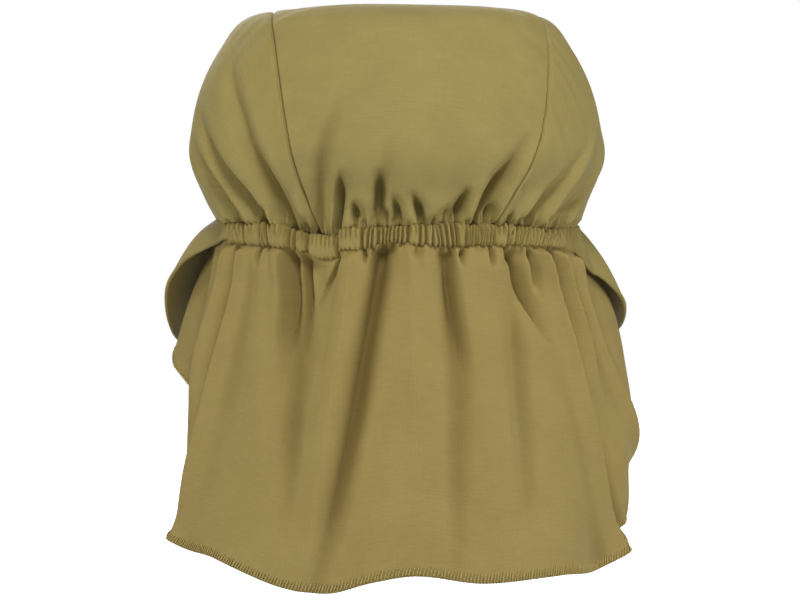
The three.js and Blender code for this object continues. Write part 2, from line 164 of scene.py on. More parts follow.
PLEAT_AT_EDGE = 0.2  # share of a pleat's depth that is left at the casing's edges
PLEAT_FRILL = 0.4  # how far the pleats push out the casing's upper and lower edges
END_VALLEY = 0.8  # depth of the valley at the casing's left end
GATHER_PITCH = 2.0  # degrees at least between the small gathers above and below the casing
GATHER_DEPTH = 1.25  # depth of the crown's small gathers, as a share of the pleats' depth
GATHER_AT_RIM = 0.45  # share of it that is left where the casing holds the cloth
GATHER_FREE = (0, 3)  # distances from the casing between which it comes to the whole
GATHER_REACHES = (3.5, 10)  # how far a small gather runs, least and most, for a valley of middling depth
GATHER_REACH_BASE = 0.6  # the share of that for no depth, and what each millimetre of depth adds
GATHER_REACH_GROWTH = 0.3
GATHER_WIDTHS = (0.55, 0.95)  # half width in degrees, least and most
GATHER_DRIFT = 0.06  # degrees that a small gather strays for each millimetre
GATHER_FADE = 0.2  # share of its reach where it starts to fade
RUFFLE_PITCH = 1.4  # degrees between the fine ruffles along the casing's upper seam
RUFFLE_STRAY = 0.4
RUFFLE_DEPTH = 2.3
RUFFLE_HEIGHTS = (0.35, 1)
RUFFLE_ROUND = 0.65  # the power that rounds a ruffle
RUFFLE_FRILL = 1.1  # how far the ruffles push out the casing's upper and lower edges
RUFFLE_FALL = (2.1, 7)  # distances up the crown between which the fine ruffles end
RUFFLE_ON_CASING = (0.2, 0.7)  # shares of the casing's height between which they end
RUFFLE_SHIFT = 0.4  # degrees that they are moved along on the casing
CASING_BODY = 0.3  # how far the casing stands out over its elastic
CASING_LAYERS = 3  # its inner face lies this many layers of cloth inside the rim
WAVE_FALL = (2, 22)  # distances up the crown and down the flap between which the casing's wave ends
FLAP_WAVE_FALL = (2, 30)
# The casing's wave: how far it stands out, and how far its lower and upper edges hang below a straight line
CASING_WAVE = table(
    "angle out low high",
    (-81, -0.6, 4.4, 0.6), (-70, 0, 3.4, 0.8), (-60, 0, 1.4, 1.6), (-45, 0.2, 0.5, 0.9), (-35, 0.4, 0, 0),
    (-25, 0.3, 0, 0), (-14.5, 0.5, 0.5, 0), (-7, 0.2, -0.3, 0.2), (0, -0.6, -1.2, 0.8),
    (5, -0.4, -0.3, 1.2), (8, 0.4, 1.2, 1.4), (13, 1.2, 1.6, 1.8), (16.4, 1.2, 2, 2.6),
    (17.6, -0.8, 4.6, 4.4), (22, -1.8, 5.7, 4.6), (25.8, -1.6, 5, 3.8), (27.4, -0.6, 3.2, 3.3),
    (29.5, -0.6, 2.6, 3), (32.6, 0, 1.7, 1.9), (34, 1, 1.2, 1.2), (37, 1.2, 0.6, 0.4), (42, 0.8, 0.1, 0),
    (47, 0.8, 0, 0), (57, 0.4, -0.4, -0.4), (63, 0, -0.4, -0.4),
)

# The peak's free edge, seen from its seam: how far out and how far down it lies at each angle
PEAK_EDGE = table(
    "angle out down",
    (60.5, 0.8, 4.6), (66, 1.2, 5.6), (72, 2.8, 8.5), (78, 6.8, 12), (86, 15, 18), (92, 21, 27),
    (100, 24, 40), (109, 26, 50), (125, 33, 54), (180, 46, 52), (235, 35, 52), (250, 28, 46), (258, 25, 40),
    (266, 20, 31), (272, 11, 22), (276, 5.8, 18.8), (280, 2.2, 15), (284, 0.6, 10.6),
)
PEAK_LAP = 1.8  # how far the peak's ends stand out over the casing's ends
PEAK_LAP_RISE = (0, 2.5)  # degrees from the peak's end between which the lap grows and shrinks
PEAK_LAP_FALL = (4, 10)
PEAK_SPREAD = 1.05  # above 1, the peak falls at its seam and stands out further on
PEAK_CROWNING = 2.5  # how far the peak arches up between its seam and its edge
PEAK_FULL = 20  # it arches that far where its edge stands out this far
PEAK_RIPPLE = 0.25  # height, length and start of its soft ripples, by the share of its width
PEAK_RIPPLE_LONG = 35
PEAK_RIPPLE_FREE = (0, 0.3)
PEAK_ROLL = 0.35  # how far the turned edge stands proud
PEAK_ROLL_WIDE = 1.6

# The flap: how far it stands out from the head at half its drop and at the hem, and the hem's height
FLAP_SECTIONS = table(
    "angle half hem low",
    (-118, 9, 9, -22), (-108, 22, 15, -78), (-97, 25.5, 9, -117), (-84, 16.5, 23.5, -126),
    (-72, 10.5, 13, -139.5), (-48, 9, 14, -139.5), (-23, 8, 11, -140.5), (-6, 8, 10, -137),
    (6, 8, 10, -139.5), (17, 8, 12, -144), (25, 8, 12.5, -144), (34, 8, 13, -141.5), (52, 8.5, 17, -133),
    (70, 12.5, 16, -128), (80, 8.5, 12.5, -109), (87, 8.5, 10, -78), (94, 13, 20, -58), (102, 14, 24, -51),
    (110, 8, 14, -30), (118, 3, 5, -14),
)
FLAP_INSET = 3.2  # how far inside the peak the flap's ends hang
FLAP_RISE = 9.0  # degrees in which its top climbs to the rim, and where past the casing that starts
FLAP_RISE_FROM = 1
FLAP_FAN = 20.0  # degrees that it fans out to each side at the hem
FLAP_RIPPLE = 0.3  # height, length and start of its soft ripples, by the distance down
FLAP_RIPPLE_LONG = 38
FLAP_RIPPLE_FREE = (8, 50)

# Folds of the flap: angle at the casing and at the hem, half width on the wearer's left and right of it,
# share of the drop, depth, sharpness
FLAP_FOLDS = table(
    "top hem left right ends depth sharp",
    (50.6, 70.5, 2.4, 5, 3, 4.4, 0.9), (56, 77.5, 2.4, 2.6, 0.9, -4, 0.1),
    (60.5, 85, 2, 3.4, 0.9, 3.6, 0.9), (64, 87, 2.5, 3, 3, -3.4, 0.2), (74, 94, 3, 4, 3, 2.4, 0.5),
    (15, 85, 1.6, 2.6, 0.16, -4, 0.3), (34, 30, 2.1, 2.8, 0.4, -8.5, 0.4),
    (29.4, 25, 2.2, 2.6, 0.32, -6, 0.3), (25.5, 24, 5.5, 7, 0.5, -4.5, 0), (37, 27, 4, 3, 0.5, 2, 0),
    (12.5, 24, 5, 4, 1, 3.2, 0.2), (4.2, 22, 3.2, 8.5, 1.35, -8.6, 0.2), (-4, -8, 4, 6, 1.1, 2.4, 0),
    (-14, -28, 5, 2.6, 0.42, -4.6, 0.35), (-17, -17, 5, 5.5, 1.5, -2.8, 0), (-18, -30, 2, 5, 0.6, 1.5, 0.1),
    (-27, -35, 5, 5, 1.2, 2.4, 0.1), (-34.2, -85, 1.9, 4.5, 0.34, -8.5, 0.4),
    (-40, -36, 5.5, 6, 1.2, -3.4, 0), (-48.5, -77.5, 5, 2.2, 3, 5.4, 0.9),
    (-54.6, -83.5, 2.4, 2.8, 3, -6, 0.2), (-54.6, -80, 1.8, 2.6, 0.4, -5, 0.3),
    (-58, -97, 3, 2, 0.6, 4.4, 0.9), (-63, -105, 2.6, 2.4, 0.5, -4, 0.1), (-69, -102, 4, 2.6, 3, 4, 0.8),
    (44.4, 44, 1.2, 1.8, 0.09, -6, 0.6), (-20, -20, 1.6, 1.2, 0.07, -6, 0.6),
    (-29.3, -31, 1.6, 1.2, 0.09, -6, 0.6), (-44.6, -62, 1.4, 1.6, 0.17, -8, 0.5),
    (9, 9, 1.2, 1.4, 0.05, -5, 0.6), (-5.9, -6, 1.5, 1.2, 0.06, -5, 0.6), (43, 40, 6, 6, 0.9, 2.2, 0),
    (31, 28, 4.5, 5, 1.2, -3.6, 0),
)
# Corners of the hem that turn out: angle, half width on the wearer's left and right of it, how far
HEM_FLICKS = table("angle left right out", (70.5, 3, 9, 4), (-76, 9, 3, 1))
FLICK_START = 0.87  # share of the drop where they start
FLICK_LIMIT = 1.1  # stitches round the hem lie a little past it
FLICK_SHARP = 0.8
FLAP_FREE = 0.035  # share of the drop where a fold has its whole depth
FLAP_PINCH = 0.6  # share of a fold's width that is left where the casing holds the cloth
FLAP_WIDE = 0.4  # share of the drop where it has its whole width
FLAP_FADE = 0.35  # share of a fold's length where it starts to fade
FLAP_PUFF = 1.6  # how far the flap's gathers swell out just below the casing
FLAP_PUFF_RISE = (0, 3)  # distances from the casing between which the swelling grows and shrinks
FLAP_PUFF_FALL = (4, 18)
FLAP_GATHER = 0.75  # depth of the flap's small gathers, as a share of the pleats' depth

# Painted shade deep in a fold, where less light reaches: points of the grid to each side that a hollow is
# measured by, the depth in millimetres of the hollow with the darkest painted shade, and how dark that
# painted shade is
HOLLOW_SPAN = 11
HOLLOW_DEPTH = 2.2
HOLLOW_SHADE = 0.5
PLEAT_HOLLOW = 0.45  # the depth of the hollow between two pleats that gets the darkest painted shade

# The overlocked hem
HEM_BAND = 3.8  # how far up from the edge the stitches reach
HEM_SHORT = 1  # degrees from the flap's ends where they stop
HEM_LEAST_DROP = 20  # the shortest drop that they are placed by
STITCH_PITCH = 1.4
STITCH_SLANT = 1.1  # how far a hem stitch leans along the hem
STITCH_STRAY = 0.35
STITCH_EDGE = 0.62  # share of a stitch's length where it meets the edge
# A stitch over the edge: its distance from the edge as a share of the band, and how far off the cloth it is
STITCH_INSET = table("share inset", (0, 1), (STITCH_EDGE, 0.06), (0.72, -0.1), (0.8, 0.06), (1, 0.5))
STITCH_PROUD = table("share proud", (0, 0), (0.2, 0.3), (0.6, 0.34), (0.72, -0.3), (0.84, -1), (1, -0.9))
# The thread that slants back: its share of the slant, its span over the band, and how far off the cloth it is
BACK_SLANT = 0.7
BACK_SPAN = (0.04, 0.8)
BACK_PROUD = 0.12
BACK_ARCH = 0.2
THREAD = 0.3  # radius of a thread
THREAD_TAPER = 0.15  # how bluntly its ends close, in radians
THREAD_ACROSS = (0.31, 0.27, 0.91)  # a way that no stitch runs

# Cloth: the weave, the slubs along both its threads, and the mottling, on flat lengths in millimetres
WEAVE_PITCH = 0.55  # millimetres from thread to thread
WEAVE_TONE = 0.08
WEAVE_RELIEF = 0.2
SLUB_LONG = 0.12
SLUB_FINE = 1.6
WARP_SLUBS = 0.6  # the warp's slubs, as a share of the weft's
MOTTLE_SCALE = 0.06
TONE_RANGE = (0.9, 1.7)  # tones of the darkest and the lightest thread
RELIEF_STRENGTH = 0.6
RELIEF_METRES = 0.00015
CLOTH_FINISH = {
    "Roughness": 0.62,
    "Specular IOR Level": 0.06,
    "Sheen Weight": 0.07,
    "Sheen Roughness": 0.45,
    "Sheen Tint": (1.0, 0.95, 0.6, 1),
}
CROWN_COLOURS = ((0.284, 0.224, 0.074), (0.332, 0.268, 0.093))  # dark and light
FLAP_COLOURS = ((0.288, 0.213, 0.069), (0.338, 0.255, 0.087))
CASING_COLOURS = ((0.285, 0.217, 0.068), (0.325, 0.255, 0.084))

# Thread of the hem
THREAD_FINISH = {"Roughness": 0.7, "Specular IOR Level": 0.25}
THREAD_COLOUR = (0.38, 0.29, 0.092)
THREAD_TONES = (0.75, 1.2)  # darkest and lightest, as shares of the colour
THREAD_GRAIN = 900.0

# The photograph's camera
IMAGE_WIDTH = 800
CAMERA_DISTANCE = 1300.0
CAMERA_RISE = 1.0  # degrees above level
MM_PER_PIXEL = 0.424  # at the middle of the cap
SENSOR = 36.0
TARGET = (-1.7, 0.0, -30.0)  # where it looks

# The studio: a white floor that neither blocks nor bounces light, and soft square lights
FLOOR = -185.0
FLOOR_REACH = 2300.0
FLOOR_FINISH = {
    "Base Color": (0.92, 0.92, 0.92, 1),
    "Roughness": 0.9,
    "Emission Color": (1, 1, 1, 1),
    "Emission Strength": 1.0,
}
BACKDROP = 1.0  # brightness of the surroundings as they are seen, and as they light the cap
SURROUNDING_LIGHT = 0.03
# Each light's name, place and size in metres, and power in watts
LIGHTS = (
    ("key", (-0.02, 1.45, 1.3), 0.5, 20),
    ("soft", (-0.05, 2.1, -0.6), 0.9, 12.5),
    ("left", (1.6, 0.7, -0.2), 0.7, 14),
    ("right", (-1.6, 0.7, -0.1), 0.7, 16),
    ("top", (0.0, 0.2, 1.7), 1.2, 7),
    ("front", (0.3, -1.8, 1.0), 1.4, 24),
)


# Curves and noise


def smooth(value, low, high):
    """A soft step from 0 at low to 1 at high."""
    t = np.clip((value - low) / (high - low), 0, 1)
    return t * t * (3 - 2 * t)


def mix(start, end, share):
    """A value a share of the way from start to end."""
    return start + (end - start) * share


def read(rows, key, column, place):
    """A column of a table read at any place between its rows, on a smooth curve through them."""
    x, y = rows[key], rows[column]
    slope = np.empty(len(y))
    slope[1:-1] = (y[2:] - y[:-2]) / (x[2:] - x[:-2])
    slope[[0, -1]] = (y[1] - y[0]) / (x[1] - x[0]), (y[-1] - y[-2]) / (x[-1] - x[-2])
    i = np.clip(np.searchsorted(x, place) - 1, 0, len(x) - 2)
    span = x[i + 1] - x[i]
    t = np.clip((place - x[i]) / span, 0, 1)
    bend = span * (slope[i] * t * (1 - t) ** 2 - slope[i + 1] * t**2 * (1 - t))
    return mix(y[i], y[i + 1], smooth(t, 0, 1)) + bend


def rows_of(rows):
    """The rows of a table, each as a dict."""
    names = list(rows)
    return [dict(zip(names, row)) for row in zip(*rows.values())]


def ridge(turned, left, right, sharp):
    """A ridge of height 1 beside its line, from a soft swell (sharp 0) to a pressed crease (sharp 1)."""
    offset = turned / np.where(turned > 0, left, right)
    swell = np.exp(-(offset**2))
    crease = np.exp(-CREASE_FALL * (np.sqrt(offset**2 + CREASE_ROUND) - CREASE_TOP))
    return mix(swell, crease, sharp)


def ripples(u, v, wavelength, seed, waves=14):
    """Smooth random ripples about 1 high, on two lengths in millimetres."""
    rng = np.random.default_rng(seed)
    total = np.zeros(np.broadcast(u, v).shape)
    for _ in range(waves):
        way = rng.uniform(0, 2 * math.pi)
        pace = 2 * math.pi / (wavelength * rng.uniform(*RIPPLE_RANGE))
        phase = rng.uniform(0, 2 * math.pi)
        total += np.sin(pace * (u * math.cos(way) + v * math.sin(way)) + phase)
    return total / math.sqrt(waves)


def close_ends(count, pull=0.75):
    """Steps from 0 to 1 that lie closer together at both ends."""
    t = np.linspace(0, 1, count)
    return mix(t, (1 - np.cos(np.pi * t)) / 2, pull)


def even_curve(points, steps=2000):
    """A smooth curve through a few points: the length up to each step, and the steps' points."""
    last = len(points) - 1
    place = np.linspace(0, last, steps + 1)
    i = np.minimum(place.astype(int), last - 1)
    t = (place - i)[:, None]
    before, start, end, after = (points[np.clip(i + k, 0, last)] for k in (-1, 0, 1, 2))
    lead, follow = (end - before) / 2, (after - start) / 2
    cubic = 2 * start - 2 * end + lead + follow
    square = 3 * end - 3 * start - 2 * lead - follow
    curve = cubic * t**3 + square * t**2 + lead * t + start
    run = np.concatenate([[0], np.cumsum(np.linalg.norm(np.diff(curve, axis=0), axis=1))])
    return run, curve


def on_head(angle, out, up):
    """Points on the head's oval at an angle, moved straight out and up."""
    turn = np.radians(angle)
    x = (HEAD_HALF_WIDTH + out) * np.sin(turn)
    y = (HEAD_HALF_LENGTH + out) * np.cos(turn)
    return np.stack(np.broadcast_arrays(x, y, up), axis=-1)


def rim_up(angle):
    """The height of the crown's rim at any angle, a whole turn or less."""
    return read(RIM_LINE, "angle", "up", np.where(angle > 180, angle - 360, angle))


# Meshes


def normals_of(points):
    """The outward direction at each point of a grid."""
    across = np.cross(np.gradient(points, axis=1), np.gradient(points, axis=0))
    return across / np.linalg.norm(across, axis=-1, keepdims=True)


def lengths_of(points):
    """Each grid point's place on the flat cloth, in millimetres along its rows and its columns."""
    u = np.linalg.norm(np.diff(points, axis=1), axis=-1).mean(0)
    v = np.linalg.norm(np.diff(points, axis=0), axis=-1).mean(1)
    u = np.concatenate([[0], np.cumsum(u)])
    v = np.concatenate([[0], np.cumsum(v)])
    return np.stack(np.meshgrid(u, v), axis=-1)


def hollows_of(points, deepest):
    """How deep each grid point lies below the cloth to its left and right, from 0 to 1 in a deep fold."""
    span = 2 * HOLLOW_SPAN + 1
    margins = ((0, 0), (HOLLOW_SPAN + 1, HOLLOW_SPAN), (0, 0))
    level = points
    for _ in range(2):
        run = np.cumsum(np.pad(level, margins, mode="edge"), axis=1)
        level = (run[:, span:] - run[:, :-span]) / span
    below = ((level - points) * normals_of(points)).sum(-1)
    return np.clip(below / deepest, 0, 1)


def border_of(rows, columns):
    """The grid's border as point numbers, once round."""
    at = np.arange(rows * columns).reshape(rows, columns)
    return np.concatenate([at[0, :-1], at[:-1, -1], at[-1, :0:-1], at[:0:-1, 0]])


def add_mesh(name, points, faces, material, flat=None, hollow=None):
    """A smooth mesh object from points in millimetres, with its cloth's flat lengths and its hollows."""
    mesh = bpy.data.meshes.new(name)
    mesh.vertices.add(len(points))
    mesh.vertices.foreach_set("co", (points * MM).astype(np.float32).ravel())
    mesh.loops.add(faces.size)
    mesh.loops.foreach_set("vertex_index", faces.astype(np.int32).ravel())
    mesh.polygons.add(len(faces))
    mesh.polygons.foreach_set("loop_start", np.arange(0, faces.size, faces.shape[1], dtype=np.int32))
    mesh.polygons.foreach_set("use_smooth", np.ones(len(faces), bool))
    if flat is not None:
        layer = mesh.uv_layers.new(name="cloth")
        layer.data.foreach_set("uv", flat[faces.ravel()].astype(np.float32).ravel())
    if hollow is not None:
        depths = mesh.attributes.new("hollow", "FLOAT", "POINT")
        depths.data.foreach_set("value", hollow.astype(np.float32))
    mesh.update(calc_edges=True)
    mesh.materials.append(material)
    made = bpy.data.objects.new(name, mesh)
    bpy.context.scene.collection.objects.link(made)
    return made


def grid_faces(rows, columns):
    """The grid's four-sided faces as point numbers."""
    at = np.arange(rows * columns).reshape(rows, columns)
    return np.stack([at[:-1, :-1], at[:-1, 1:], at[1:, 1:], at[1:, :-1]], axis=-1).reshape(-1, 4)


def cloth_wall(name, outer, thickness, material, inner=None, deepest=HOLLOW_DEPTH):
    """A closed cloth wall with a ridge round its edge: a grid of outer points and one of inner points."""
    rows, columns = outer.shape[:2]
    if inner is None:
        inner = outer - normals_of(outer) * thickness
    border = border_of(rows, columns)
    centre = outer[1:-1, 1:-1]
    near = np.pad(centre, ((1, 1), (1, 1), (0, 0)), mode="edge").reshape(-1, 3)[border]
    face, back = outer.reshape(-1, 3), inner.reshape(-1, 3)
    away = face[border] - near
    away /= np.maximum(np.linalg.norm(away, axis=1, keepdims=True), 1e-9)
    wall = np.linalg.norm(face[border] - back[border], axis=1, keepdims=True)
    middle = (face[border] + back[border]) / 2 + away * wall / 2
    points = np.concatenate([face, back, middle])
    quads = grid_faces(rows, columns)
    inside = rows * columns
    rim = 2 * inside + np.arange(len(border))
    following = np.roll(np.arange(len(border)), -1)
    faces = np.concatenate([
        quads,
        quads[:, ::-1] + inside,
        np.stack([border[following], border, rim, rim[following]], axis=-1),
        np.stack([rim[following], rim, border + inside, border[following] + inside], axis=-1),
    ])
    flat = lengths_of(outer).reshape(-1, 2)
    flat = np.concatenate([flat, flat, flat[border]])
    hollow = hollows_of(outer, deepest).ravel()
    hollow = np.concatenate([hollow, 0 * hollow, hollow[border]])
    return add_mesh(name, points, faces, material, flat, hollow)


def thread_mesh(name, paths, radius, material):
    """Short lengths of thread: four-sided tubes with closed ends along an array of paths."""
    count, steps = paths.shape[:2]
    way = np.gradient(paths, axis=1)
    way /= np.linalg.norm(way, axis=-1, keepdims=True)
    side = np.cross(way, THREAD_ACROSS)
    side /= np.linalg.norm(side, axis=-1, keepdims=True)
    rise = np.cross(way, side)
    turn = np.linspace(THREAD_TAPER, math.pi - THREAD_TAPER, steps)
    thin = radius * np.sqrt(np.sin(turn))[None, :, None]
    rings = np.stack([paths + thin * away for away in (side, rise, -side, -rise)], axis=2)
    at = np.arange(count * steps * 4).reshape(count, steps, 4)
    turned = np.roll(at, -1, axis=2)
    walls = np.stack([at[:, :-1], turned[:, :-1], turned[:, 1:], at[:, 1:]], axis=-1).reshape(-1, 4)
    faces = np.concatenate([walls, at[:, 0, ::-1], at[:, -1]])
    return add_mesh(name, rings.reshape(-1, 3), faces, material)


def place_piece(piece, node):
    """Puts a piece on the frame's one body, in the place of a node if it stands for one."""
    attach(piece, "root")
    if node:
        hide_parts(node)
    return piece


# Pleats


def casing_valleys():
    """The valleys between the casing's pleats: their angles from left to right, depths and leans."""
    rng = np.random.default_rng(PLEAT_SEED)
    start = CASING_LEFT_END
    valleys = [(start, END_VALLEY, 0.0)]
    for stretch in rows_of(CASING_STRETCHES):
        count = int(stretch["pleats"])
        width = (stretch["end"] - start) / count
        for k in range(1, count + 1):
            stray = rng.uniform(-1, 1) * PLEAT_WOBBLE * width * (k < count)
            depth = PLEAT_DEPTH * stretch["depth"] * rng.uniform(*PLEAT_DEPTHS)
            lean = stretch["lean"] * rng.uniform(*PLEAT_LEANS)
            valleys.append((start + width * k + stray, depth, lean))
        start = stretch["end"]
    return table("angle depth lean", *valleys)


VALLEYS = casing_valleys()


def pleat_puff(angle, up):
    """How far the casing's pleats stand out from the valleys beside them, at a share of its height."""
    order = np.argsort(VALLEYS["angle"])
    at, depth, lean = (VALLEYS[name][order] for name in ("angle", "depth", "lean"))
    last = len(at) - 2

    def valley(i):
        return at[i] + lean[i] * (up - 0.5)

    i = np.clip(np.searchsorted(at, angle) - 1, 0, last)
    for _ in range(2):
        above = (angle > valley(i + 1)).astype(int)
        below = (angle < valley(i)).astype(int)
        i = np.clip(i + above - below, 0, last)
    wide = np.maximum(valley(i + 1) - valley(i), PLEAT_LEAST)
    t = np.clip((angle - valley(i)) / wide, 0, 1)
    power = np.maximum(PLEAT_ROUND, wide * DEGREE / PLEAT_SHOULDER)
    height = mix(depth[i], depth[i + 1], t)
    return height * (1 - np.abs(2 * t - 1) ** power)


def ruffles(angle):
    """The fine ruffles along the casing's upper seam: up to 1 on their tops, 0 between them."""
    rng = np.random.default_rng(RUFFLE_SEED)
    count = int((CASING_LEFT_END - CASING_RIGHT_END) / RUFFLE_PITCH)
    stray = rng.uniform(-RUFFLE_STRAY, RUFFLE_STRAY, count) * RUFFLE_PITCH
    at = np.linspace(CASING_RIGHT_END, CASING_LEFT_END, count) + stray
    high = rng.uniform(*RUFFLE_HEIGHTS, count)
    i = np.clip(np.searchsorted(at, angle) - 1, 0, count - 2)
    t = np.clip((angle - at[i]) / (at[i + 1] - at[i]), 0, 1)
    return high[i] * np.sin(np.pi * t) ** RUFFLE_ROUND


def small_gathers(angle, distance, seed):
    """How far the casing's pleats still pull the cloth in, at an angle and a distance from the casing."""
    rng = np.random.default_rng(seed)
    pulled = np.zeros(np.broadcast(angle, distance).shape)
    last = math.inf
    for valley in rows_of(VALLEYS):
        if last - valley["angle"] < GATHER_PITCH:
            continue
        last = valley["angle"]
        reach = rng.uniform(*GATHER_REACHES) * (GATHER_REACH_BASE + GATHER_REACH_GROWTH * valley["depth"])
        wide = rng.uniform(*GATHER_WIDTHS)
        drift = rng.uniform(-GATHER_DRIFT, GATHER_DRIFT)
        spread = wide * (1 + distance / reach)
        offset = (angle - valley["angle"] - drift * distance) / spread
        fade = 1 - smooth(distance, GATHER_FADE * reach, reach)
        pulled += valley["depth"] * np.exp(-(offset**2)) * fade
    return pulled


# Crown

profile_run, profile = even_curve(np.stack([CROWN_LEVELS["half_width"], CROWN_LEVELS["up"]], axis=-1))
CROWN_REACH = profile_run[-1]
CROWN_TOP = CROWN_LEVELS["up"].max()
profile_way = np.gradient(profile, axis=0)
profile_way /= np.linalg.norm(profile_way, axis=1, keepdims=True)


def crown_fold(angle, share):
    """How far the folds move the crown's cloth out, at an angle and a share of the way from rim to top."""
    held = mix(FOLD_AT_RIM, 1, smooth(share, 0, FOLD_FREE))
    moved = np.zeros(share.shape)
    for fold in rows_of(CROWN_FOLDS):
        climb = share / fold["reach"]
        fade = 1 - smooth(climb, FOLD_FADE, 1)
        turned = angle - mix(fold["foot"], fold["head"], np.minimum(climb, 1) ** FOLD_BEND)
        turned = turned / mix(FOLD_PINCH, 1, smooth(climb, 0, FOLD_WIDE))
        moved += fold["depth"] * held * fade * ridge(turned, fold["left"], fold["right"], fold["sharp"])
    return moved


def near_nape(angle):
    """1 over the casing, and 0 past its ends."""
    past_left = smooth(angle, CASING_LEFT_END - NAPE_BEFORE, CASING_LEFT_END + NAPE_AFTER)
    past_right = smooth(-angle, -CASING_RIGHT_END - NAPE_BEFORE, -CASING_RIGHT_END + NAPE_AFTER)
    return (1 - past_left) * (1 - past_right)


def crown_gathers(angle, place):
    """How far the casing's gathers move the crown's cloth out, at a distance from the rim."""
    swell = RIM_PUFF * smooth(place, *RIM_PUFF_RISE) * (1 - smooth(place, *RIM_PUFF_FALL))
    gathered_in = GATHER_DEPTH * mix(GATHER_AT_RIM, 1, smooth(place, *GATHER_FREE))
    pulled = gathered_in * small_gathers(angle, place, CROWN_GATHER_SEED)
    ruffled = RUFFLE_DEPTH * (1 - smooth(place, *RUFFLE_FALL)) * (ruffles(angle) - 0.5)
    waved = (1 - smooth(place, *WAVE_FALL)) * read(CASING_WAVE, "angle", "out", angle)
    return near_nape(angle) * (swell - pulled + ruffled + waved)


def seam_shape(from_seam, run):
    """How far a seam moves the cloth beside it out: the turned-in edge and the puckers."""
    beside = from_seam / PUCKER_WIDE
    puckered = PUCKER * beside * np.exp(1 - beside) * ripples(run, 0 * run, PUCKER_LONG, PUCKER_SEED)
    return puckered - SEAM_ROLL * np.exp(-((from_seam / SEAM_ROLL_WIDE) ** 2))


def crown_spread(angle, half_width, up):
    """The crown's half width at a height, with less bulge over the forehead."""
    front = np.abs(angle)
    bulge = mix(1, CROWN_FRONT_BULGE, smooth(front, *CROWN_BULGE_ENDS))
    spread = np.minimum(half_width, HEAD_HALF_WIDTH) + np.maximum(half_width - HEAD_HALF_WIDTH, 0) * bulge
    curved = smooth(up, CROWN_ROUND_FROM, CROWN_TOP) * smooth(front, *CROWN_ROUND_ENDS)
    return spread * (1 - CROWN_FRONT_ROUND * curved)


def crown_points(x, y, from_seam, run):
    """The crown's outer points on a flat disc, x to the wearer's left, y to the nape, 1 at the rim."""
    share = np.clip(1 - np.hypot(x, y), 0, 1)
    turn = np.arctan2(x, y)
    angle = np.degrees(turn)
    place = share * CROWN_REACH
    half_width, up = (np.interp(place, profile_run, profile[:, k]) for k in (0, 1))
    slant = [np.interp(place, profile_run, profile_way[:, k]) for k in (0, 1)]
    soft = ripples(x * DISC_RADIUS, y * DISC_RADIUS, CROWN_RIPPLE_LONG, CROWN_RIPPLE_SEED)
    moved = crown_fold(angle, share) + crown_gathers(angle, place) + seam_shape(from_seam, run)
    moved += CROWN_RIPPLE * smooth(place, *CROWN_RIPPLE_FREE) * soft
    spread = crown_spread(angle, half_width, up)
    length = spread * HEAD_HALF_LENGTH / HEAD_HALF_WIDTH
    rim = rim_up(angle) - near_nape(angle) * read(CASING_WAVE, "angle", "high", angle)
    return np.stack([
        (spread + moved * slant[1]) * np.sin(turn),
        (length + moved * slant[1]) * np.cos(turn),
        up + rim * (1 - share) ** RIM_FADE - moved * slant[0],
    ], axis=-1)


def crown_centre_panel(material):
    """The strip from the nape over the top to the forehead, with closer rows near the nape."""
    columns, rows, pull = 180, 205, 1.5
    across, along = np.meshgrid(close_ends(columns), np.linspace(0, 1, rows) ** pull)
    left = read(SEAMS, "run", "left", along) - SEAM_GAP / 2
    right = read(SEAMS, "run", "right", along) - SEAM_GAP / 2
    x = mix(left, -right, across)
    y = np.sqrt(1 - x**2) * (1 - 2 * along)
    from_seam = np.minimum(across, 1 - across) * (left + right) * CROWN_REACH * SEAM_SCALE
    run = along * 2 * CROWN_REACH + 2 * PUCKER_SHIFT * (across > 0.5)
    piece = cloth_wall("crown_centre", crown_points(x, y, from_seam, run), CLOTH, material)
    return place_piece(piece, "crown_centre_panel")


def crown_side_panel(name, node, seam, side, material):
    """A side panel between its seam and the rim, with closer columns near the nape."""
    columns, rows, pull = 300, 96, 0.6
    across, along = np.meshgrid(np.linspace(0, 1, columns), np.linspace(0, 1, rows))

    def seam_at(run):
        return read(SEAMS, "run", seam, run) + SEAM_GAP / 2

    nape = np.arcsin(seam_at(0.0))
    forehead = np.pi - np.arcsin(seam_at(1.0))
    cut = math.radians(SIDE_CORNER) / (forehead - nape)
    from_nape = across if side > 0 else 1 - across
    from_nape = mix(from_nape, from_nape**2, pull)
    run = mix(cut, 1 - cut, from_nape)
    turn = mix(nape, forehead, run)
    seam_x = seam_at(run)
    seam_y = np.sqrt(1 - seam_x**2) * (1 - 2 * run)
    x = side * mix(seam_x, np.sin(turn), along)
    y = mix(seam_y, np.cos(turn), along)
    from_seam = np.abs(np.abs(x) - seam_x) * CROWN_REACH * SEAM_SCALE
    outer = crown_points(x, y, from_seam, run * 2 * CROWN_REACH + PUCKER_SHIFT)
    piece = cloth_wall(name, outer, CLOTH, material)
    return place_piece(piece, node)


# Casing


def casing_up(angle, along):
    """The casing's height, along from its upper to its lower edge."""
    high = rim_up(angle) - read(CASING_WAVE, "angle", "high", angle)
    low = rim_up(angle) - CASING_HEIGHT - read(CASING_WAVE, "angle", "low", angle)
    return mix(high, low, along)


def casing_body(along):
    """How full the casing is, 1 in its middle and 0 at both edges."""
    return np.sqrt(np.maximum(1 - (2 * along - 1) ** 4, 0))


